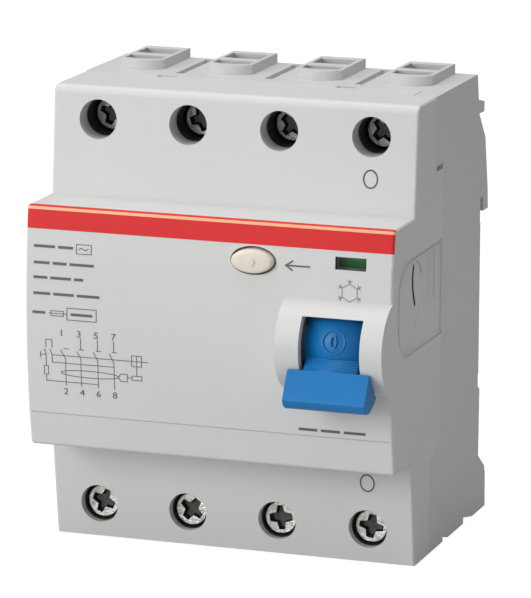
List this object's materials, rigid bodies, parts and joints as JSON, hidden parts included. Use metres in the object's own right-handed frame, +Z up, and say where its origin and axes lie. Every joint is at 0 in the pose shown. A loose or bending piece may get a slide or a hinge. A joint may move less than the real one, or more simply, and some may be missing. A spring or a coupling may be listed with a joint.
{
  "type": "residual current device",
  "caption": "Rail-mounted residual current circuit breaker with a toggle, test button, contact window and screw clamps behind round holes.",
  "frame": {"origin": "centre of the seat face that lies on the mounting rail, midway between the side walls", "axes": "+X to the right seen from the front, +Z up, the front faces -Y and the rail is on the +Y side"},
  "size_m": [0.07, 0.069, 0.0868],
  "materials": {
    "cover_plastic": "fine-textured light warm grey thermoplastic",
    "base_plastic": "fine-textured light grey thermoplastic",
    "clear_plastic": "clear polycarbonate",
    "flag_plastic": "green and red moulded drum",
    "zinc_steel": "bright zinc plated steel",
    "spring_steel": "plain spring steel",
    "copper": "copper and copper alloy",
    "core_metal": "lacquered nanocrystalline strip core",
    "black_plastic": "glass-filled black polyamide",
    "toggle_plastic": "blue moulded toggle",
    "button_plastic": "cream moulded button",
    "resistor_ceramic": "lacquered resistor body",
    "clip_plastic": "grey polyamide"
  },
  "bodies": {
    "housing": {"front_cover": "cover_plastic", "rear_base": "base_plastic", "indicator_lens": "clear_plastic", "fixed_contact_1": "copper", "load_conductor_1": "copper", "fixed_contact_2": "copper", "load_conductor_2": "copper", "fixed_contact_3": "copper", "load_conductor_3": "copper", "fixed_contact_4": "copper", "load_conductor_4": "copper", "rotor_pin": "spring_steel", "arc_plates": "zinc_steel", "transformer_core": "core_metal", "transformer_winding": "copper", "toggle_pin": "spring_steel", "mechanism_frame": "zinc_steel", "relay_case": "black_plastic", "relay_coil": "copper", "test_button_spring": "spring_steel", "test_switch_block": "black_plastic", "test_contact_strip": "copper", "test_resistor": "resistor_ceramic"},
    "toggle": {"toggle_lever": "toggle_plastic", "toggle_spring": "spring_steel"},
    "link": {"toggle_link": "spring_steel"},
    "latch": {"trip_latch": "spring_steel", "latch_spring": "spring_steel"},
    "contacts": {"contact_carrier": "black_plastic", "moving_contact_1": "copper", "moving_contact_2": "copper", "moving_contact_3": "copper", "moving_contact_4": "copper"},
    "indicator": {"indicator_drum": "flag_plastic"},
    "test_button": {"test_button": "button_plastic"},
    "plunger": {"relay_plunger": "spring_steel"},
    "clip_left": {"rail_clip_left": "clip_plastic"},
    "clip_right": {"rail_clip_right": "clip_plastic"},
    "screw_upper_1": {"terminal_screw_upper_1": "zinc_steel"},
    "clamp_upper_1": {"cage_clamp_upper_1": "zinc_steel"},
    "screw_upper_2": {"terminal_screw_upper_2": "zinc_steel"},
    "clamp_upper_2": {"cage_clamp_upper_2": "zinc_steel"},
    "screw_upper_3": {"terminal_screw_upper_3": "zinc_steel"},
    "clamp_upper_3": {"cage_clamp_upper_3": "zinc_steel"},
    "screw_upper_4": {"terminal_screw_upper_4": "zinc_steel"},
    "clamp_upper_4": {"cage_clamp_upper_4": "zinc_steel"},
    "screw_lower_1": {"terminal_screw_lower_1": "zinc_steel"},
    "clamp_lower_1": {"cage_clamp_lower_1": "zinc_steel"},
    "screw_lower_2": {"terminal_screw_lower_2": "zinc_steel"},
    "clamp_lower_2": {"cage_clamp_lower_2": "zinc_steel"},
    "screw_lower_3": {"terminal_screw_lower_3": "zinc_steel"},
    "clamp_lower_3": {"cage_clamp_lower_3": "zinc_steel"},
    "screw_lower_4": {"terminal_screw_lower_4": "zinc_steel"},
    "clamp_lower_4": {"cage_clamp_lower_4": "zinc_steel"}
  },
  "joints": [
    {"name": "toggle_turn", "type": "hinge", "parent": "housing", "child": "toggle", "pos_m": [0.0252, -0.0515, 0.001], "axis": [-1, 0, 0], "range_deg": [0, 60]},
    {"name": "link_turn", "type": "hinge", "parent": "toggle", "child": "link", "pos_m": [0.0306, -0.05375, 0.0049], "axis": [-1, 0, 0], "range_deg": [-60, 0]},
    {"name": "contacts_turn", "type": "hinge", "parent": "housing", "child": "contacts", "pos_m": [0, -0.02, 0.003], "axis": [-1, 0, 0], "range_deg": [0, 28]},
    {"name": "indicator_turn", "type": "hinge", "parent": "housing", "child": "indicator", "pos_m": [0.0252, -0.0476, 0.01605], "axis": [-1, 0, 0], "range_deg": [0, 90]},
    {"name": "latch_turn", "type": "hinge", "parent": "housing", "child": "latch", "pos_m": [0.0252, -0.042, -0.002], "axis": [1, 0, 0], "range_deg": [0, 18]},
    {"name": "plunger_push", "type": "slide", "parent": "housing", "child": "plunger", "axis": [0, 0, 1], "range_m": [0, 0.0013], "stiffness_N_per_m": 1100},
    {"name": "test_press", "type": "slide", "parent": "housing", "child": "test_button", "axis": [0, 1, 0], "range_m": [0, 0.0015], "stiffness_N_per_m": 900, "deforming": ["test_button_spring"]},
    {"name": "clip_left_pull", "type": "slide", "parent": "housing", "child": "clip_left", "axis": [0, 0, -1], "range_m": [0, 0.0038], "stiffness_N_per_m": 1500},
    {"name": "clip_right_pull", "type": "slide", "parent": "housing", "child": "clip_right", "axis": [0, 0, -1], "range_m": [0, 0.0038], "stiffness_N_per_m": 1500},
    {"name": "screw_upper_1_turn", "type": "hinge", "parent": "housing", "child": "screw_upper_1", "pos_m": [-0.02625, -0.033, 0.0365], "axis": [0, 1, 0], "range_deg": [0, 1441]},
    {"name": "clamp_upper_1_slide", "type": "slide", "parent": "housing", "child": "clamp_upper_1", "axis": [0, -1, 0], "range_m": [0, 0.0032]},
    {"name": "screw_upper_2_turn", "type": "hinge", "parent": "housing", "child": "screw_upper_2", "pos_m": [-0.00875, -0.033, 0.0365], "axis": [0, 1, 0], "range_deg": [0, 1441]},
    {"name": "clamp_upper_2_slide", "type": "slide", "parent": "housing", "child": "clamp_upper_2", "axis": [0, -1, 0], "range_m": [0, 0.0032]},
    {"name": "screw_upper_3_turn", "type": "hinge", "parent": "housing", "child": "screw_upper_3", "pos_m": [0.00875, -0.033, 0.0365], "axis": [0, 1, 0], "range_deg": [0, 1441]},
    {"name": "clamp_upper_3_slide", "type": "slide", "parent": "housing", "child": "clamp_upper_3", "axis": [0, -1, 0], "range_m": [0, 0.0032]},
    {"name": "screw_upper_4_turn", "type": "hinge", "parent": "housing", "child": "screw_upper_4", "pos_m": [0.02625, -0.033, 0.0365], "axis": [0, 1, 0], "range_deg": [0, 1441]},
    {"name": "clamp_upper_4_slide", "type": "slide", "parent": "housing", "child": "clamp_upper_4", "axis": [0, -1, 0], "range_m": [0, 0.0032]},
    {"name": "screw_lower_1_turn", "type": "hinge", "parent": "housing", "child": "screw_lower_1", "pos_m": [-0.02625, -0.0382, -0.0361], "axis": [0, 1, 0], "range_deg": [0, 1441]},
    {"name": "clamp_lower_1_slide", "type": "slide", "parent": "housing", "child": "clamp_lower_1", "axis": [0, -1, 0], "range_m": [0, 0.0032]},
    {"name": "screw_lower_2_turn", "type": "hinge", "parent": "housing", "child": "screw_lower_2", "pos_m": [-0.00875, -0.0382, -0.0361], "axis": [0, 1, 0], "range_deg": [0, 1441]},
    {"name": "clamp_lower_2_slide", "type": "slide", "parent": "housing", "child": "clamp_lower_2", "axis": [0, -1, 0], "range_m": [0, 0.0032]},
    {"name": "screw_lower_3_turn", "type": "hinge", "parent": "housing", "child": "screw_lower_3", "pos_m": [0.00875, -0.0382, -0.0361], "axis": [0, 1, 0], "range_deg": [0, 1441]},
    {"name": "clamp_lower_3_slide", "type": "slide", "parent": "housing", "child": "clamp_lower_3", "axis": [0, -1, 0], "range_m": [0, 0.0032]},
    {"name": "screw_lower_4_turn", "type": "hinge", "parent": "housing", "child": "screw_lower_4", "pos_m": [0.02625, -0.0382, -0.0361], "axis": [0, 1, 0], "range_deg": [0, 1441]},
    {"name": "clamp_lower_4_slide", "type": "slide", "parent": "housing", "child": "clamp_lower_4", "axis": [0, -1, 0], "range_m": [0, 0.0032]}
  ],
  "couplings": [
    {"joint": "link_turn", "follows": "toggle_turn", "ratio": -1},
    {"joint": "contacts_turn", "follows": "toggle_turn", "ratio": 0.46667},
    {"joint": "indicator_turn", "follows": "toggle_turn", "ratio": 1.5},
    {"joint": "latch_turn", "follows": "plunger_push", "rad_per_m": 241.66},
    {"joint": "screw_upper_1_turn", "follows": "clamp_upper_1_slide", "rad_per_m": 7854},
    {"joint": "screw_upper_2_turn", "follows": "clamp_upper_2_slide", "rad_per_m": 7854},
    {"joint": "screw_upper_3_turn", "follows": "clamp_upper_3_slide", "rad_per_m": 7854},
    {"joint": "screw_upper_4_turn", "follows": "clamp_upper_4_slide", "rad_per_m": 7854},
    {"joint": "screw_lower_1_turn", "follows": "clamp_lower_1_slide", "rad_per_m": 7854},
    {"joint": "screw_lower_2_turn", "follows": "clamp_lower_2_slide", "rad_per_m": 7854},
    {"joint": "screw_lower_3_turn", "follows": "clamp_lower_3_slide", "rad_per_m": 7854},
    {"joint": "screw_lower_4_turn", "follows": "clamp_lower_4_slide", "rad_per_m": 7854}
  ]
}
